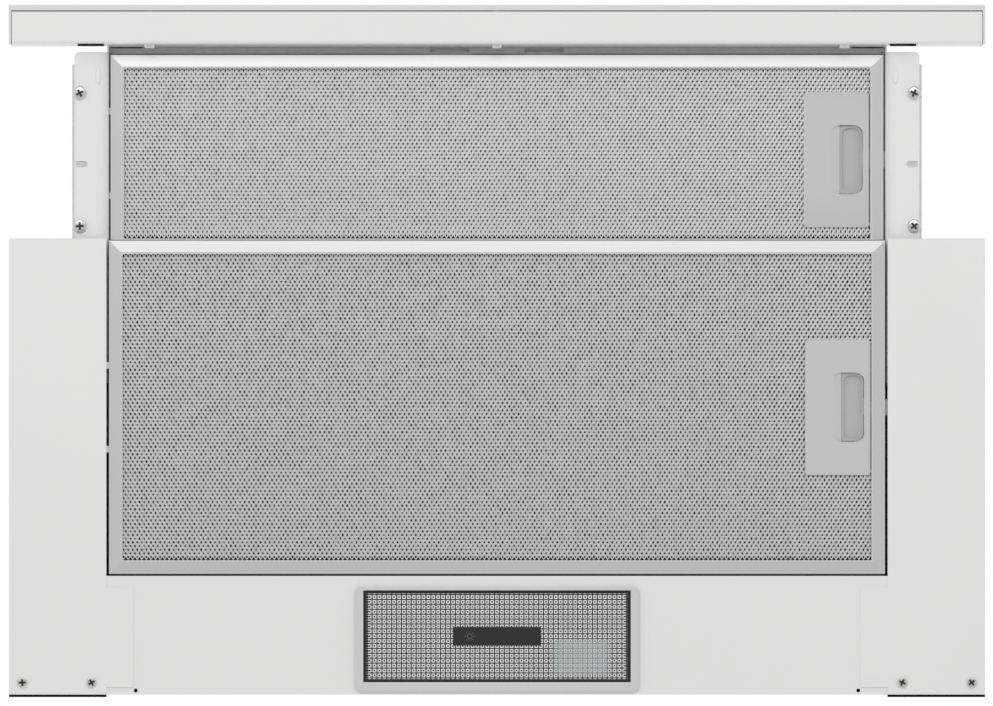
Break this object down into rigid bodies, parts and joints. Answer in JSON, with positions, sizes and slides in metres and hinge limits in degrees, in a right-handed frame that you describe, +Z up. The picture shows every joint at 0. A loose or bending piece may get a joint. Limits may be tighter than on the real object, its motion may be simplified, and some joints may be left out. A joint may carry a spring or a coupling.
{
  "type": "range hood",
  "caption": "White pull-out cabinet range hood with a slide-out drawer, two mesh grease filters, a lamp and a round duct collar.",
  "frame": {"origin": "middle of the footprint with the drawer open, on the plane of the lowest face", "axes": "+X to the user's right, -Y to the front where the drawer pulls out, +Z up to the duct"},
  "size_m": [0.598, 0.424, 0.203],
  "materials": {
    "black_plastic": "matt black plastic",
    "black_rubber": "matt black rubber and foam",
    "bulb_glass": "frosted glass",
    "capacitor_can": "off-white capacitor case",
    "clear_plastic": "clear prismatic plastic",
    "expanded_aluminium": "layered expanded aluminium",
    "fan_plastic": "black moulded plastic",
    "filter_frame": "satin rolled aluminium",
    "galvanised": "zinc-plated sheet steel",
    "handle_grey": "satin light grey plastic",
    "label_black": "matt black label",
    "motor_steel": "dark electrical steel",
    "screw_steel": "bright zinc-plated screws",
    "scroll_plastic": "dark grey moulded plastic",
    "white_paint": "smooth semi-gloss white powder coat",
    "white_plastic": "smooth white plastic"
  },
  "bodies": {
    "housing": {"housing_shell": "white_paint", "housing_feet": "galvanised", "rear_panel": "white_paint", "side_cover_left": "white_paint", "side_cover_right": "white_paint", "cover_seals": "black_rubber", "side_cover_screws": "screw_steel", "cabinet_bracket_left": "galvanised", "cabinet_bracket_right": "galvanised", "bracket_screws": "screw_steel", "slide_fixed_left": "galvanised", "slide_fixed_right": "galvanised", "scroll_left": "scroll_plastic", "scroll_right": "scroll_plastic", "motor_can": "motor_steel", "motor_bracket": "galvanised", "capacitor": "capacitor_can", "junction_box": "black_plastic", "cable_gland": "black_plastic", "duct_collar": "black_plastic", "flap_frame": "black_plastic", "lamp_housing": "galvanised", "lamp_bezel": "white_plastic", "lamp_socket": "black_plastic", "lamp_bulb": "bulb_glass"},
    "drawer": {"front_fascia": "white_paint", "front_carrier": "white_paint", "fascia_screws": "screw_steel", "rubber_buffers": "black_rubber", "drawer_side_left": "white_paint", "drawer_side_right": "white_paint", "drawer_front_wall": "galvanised", "drawer_top_deck": "galvanised", "drawer_rear_bar": "galvanised", "rail_screws": "screw_steel", "slide_moving_left": "galvanised", "slide_moving_right": "galvanised", "switch_housing": "black_plastic", "switch_bezel": "white_plastic"},
    "ball_cage_left": {"ball_cage_left": "screw_steel"},
    "ball_cage_right": {"ball_cage_right": "screw_steel"},
    "fixed_filter": {"fixed_filter_frame": "filter_frame", "fixed_filter_mesh": "expanded_aluminium", "fixed_filter_handle_plate": "handle_grey", "fixed_filter_springs": "screw_steel"},
    "fixed_filter_latch": {"fixed_filter_latch": "handle_grey"},
    "drawer_filter": {"drawer_filter_frame": "filter_frame", "drawer_filter_mesh": "expanded_aluminium", "drawer_filter_handle_plate": "handle_grey", "drawer_filter_springs": "screw_steel"},
    "drawer_filter_latch": {"drawer_filter_latch": "handle_grey"},
    "lamp_cover": {"lamp_cover": "clear_plastic", "lamp_label": "label_black"},
    "impeller": {"impeller": "fan_plastic", "motor_shaft": "screw_steel"},
    "flap_left": {"flap_left": "black_plastic"},
    "flap_right": {"flap_right": "black_plastic"},
    "light_knob": {"light_knob": "white_plastic"},
    "speed_knob": {"speed_knob": "white_plastic"}
  },
  "joints": [
    {"name": "drawer_slide", "type": "slide", "parent": "housing", "child": "drawer", "axis": [0, 1, 0], "range_m": [0, 0.1176]},
    {"name": "ball_cage_left_roll", "type": "slide", "parent": "housing", "child": "ball_cage_left", "axis": [0, 1, 0], "range_m": [0, 0.0588]},
    {"name": "ball_cage_right_roll", "type": "slide", "parent": "housing", "child": "ball_cage_right", "axis": [0, 1, 0], "range_m": [0, 0.0588]},
    {"name": "fixed_filter_swing", "type": "hinge", "parent": "housing", "child": "fixed_filter", "pos_m": [-0.2398, 0.03445, 0.0056], "axis": [0, -1, 0], "range_deg": [-30, 0]},
    {"name": "fixed_filter_latch_slide", "type": "slide", "parent": "fixed_filter", "child": "fixed_filter_latch", "axis": [-1, 0, 0], "range_m": [0, 0.004], "stiffness_N_per_m": 400, "springref_m": -0.002, "deforming": ["fixed_filter_springs"]},
    {"name": "drawer_filter_swing", "type": "hinge", "parent": "drawer", "child": "drawer_filter", "pos_m": [-0.2388, -0.1213, 0.017], "axis": [0, -1, 0], "range_deg": [-30, 0]},
    {"name": "drawer_filter_latch_slide", "type": "slide", "parent": "drawer_filter", "child": "drawer_filter_latch", "axis": [-1, 0, 0], "range_m": [0, 0.004], "stiffness_N_per_m": 400, "springref_m": -0.002, "deforming": ["drawer_filter_springs"]},
    {"name": "lamp_cover_swing", "type": "hinge", "parent": "housing", "child": "lamp_cover", "pos_m": [0, 0.2013, 0.0026], "axis": [-1, 0, 0], "range_deg": [-60, 0]},
    {"name": "impeller_spin", "type": "hinge", "parent": "housing", "child": "impeller", "pos_m": [0, 0.04525, 0.096], "axis": [1, 0, 0], "continuous": true},
    {"name": "flap_left_swing", "type": "hinge", "parent": "housing", "child": "flap_left", "pos_m": [-0.0028, 0.07075, 0.1824], "axis": [0, 1, 0], "range_deg": [0, 75]},
    {"name": "flap_right_swing", "type": "hinge", "parent": "housing", "child": "flap_right", "pos_m": [0.0028, 0.07075, 0.1824], "axis": [0, -1, 0], "range_deg": [0, 75]},
    {"name": "light_knob_slide", "type": "slide", "parent": "drawer", "child": "light_knob", "axis": [1, 0, 0], "range_m": [0, 0.008]},
    {"name": "speed_knob_slide", "type": "slide", "parent": "drawer", "child": "speed_knob", "axis": [1, 0, 0], "range_m": [0, 0.024]}
  ],
  "couplings": [
    {"joint": "ball_cage_left_roll", "follows": "drawer_slide", "ratio": 0.5},
    {"joint": "ball_cage_right_roll", "follows": "drawer_slide", "ratio": 0.5}
  ]
}
